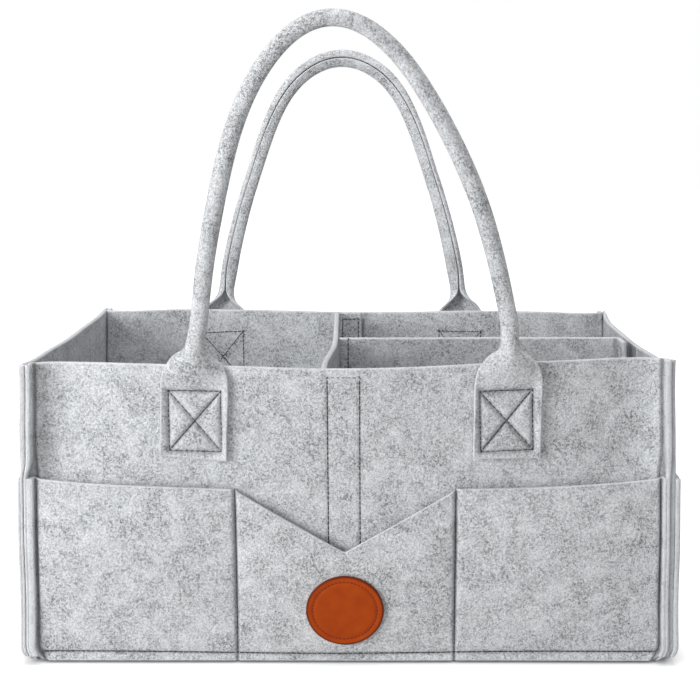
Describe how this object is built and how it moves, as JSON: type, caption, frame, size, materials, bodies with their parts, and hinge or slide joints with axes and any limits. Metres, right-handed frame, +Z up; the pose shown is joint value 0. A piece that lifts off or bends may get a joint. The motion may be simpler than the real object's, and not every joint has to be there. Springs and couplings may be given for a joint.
{
  "type": "diaper caddy",
  "caption": "Open felt caddy with sewn corner seams, outside pockets, a leather patch, rolled arch handles that swing and a T-shaped divider that lifts out.",
  "frame": {"origin": "middle of the underside, on the surface the caddy stands on", "axes": "+X along the length towards the divided half, -Y towards the front with the leather patch, +Z up"},
  "size_m": [0.3908, 0.3027, 0.3715],
  "materials": {
    "felt": "matte mottled light grey needled felt",
    "leather": "smooth tan-orange leather, low sheen",
    "tape": "grey hook-and-loop tape"
  },
  "bodies": {
    "caddy": {"base_panel": "felt", "front_wall": "felt", "back_wall": "felt", "left_wall": "felt", "right_wall": "felt", "front_pocket": "felt", "back_pocket": "felt", "left_pocket": "felt", "right_pocket": "felt", "leather_patch": "leather", "front_loop_tape": "tape", "back_loop_tape": "tape", "right_loop_tape": "tape", "front_handle_left_tab": "felt", "front_handle_right_tab": "felt", "back_handle_left_tab": "felt", "back_handle_right_tab": "felt"},
    "front_handle": {"front_handle_grip": "felt"},
    "back_handle": {"back_handle_grip": "felt"},
    "divider": {"cross_divider": "felt", "front_hook_tape": "tape", "back_hook_tape": "tape"},
    "divider_wing": {"long_divider": "felt", "right_hook_tape": "tape"}
  },
  "joints": [
    {"name": "front_handle_swing", "type": "hinge", "parent": "caddy", "child": "front_handle", "pos_m": [0, -0.12184, 0.1774], "axis": [1, 0, 0], "range_deg": [-15, 120]},
    {"name": "back_handle_swing", "type": "hinge", "parent": "caddy", "child": "back_handle", "pos_m": [0, 0.12184, 0.1774], "axis": [-1, 0, 0], "range_deg": [-15, 110]},
    {"name": "divider_lift", "type": "slide", "parent": "caddy", "child": "divider", "axis": [-0.0225, 0, 0.9997], "range_m": [0, 0.176]},
    {"name": "divider_wing_swing", "type": "hinge", "parent": "divider", "child": "divider_wing", "pos_m": [-0.0085, 0.005, 0.09], "axis": [0, 0, 1], "range_deg": [-25, 0]}
  ]
}
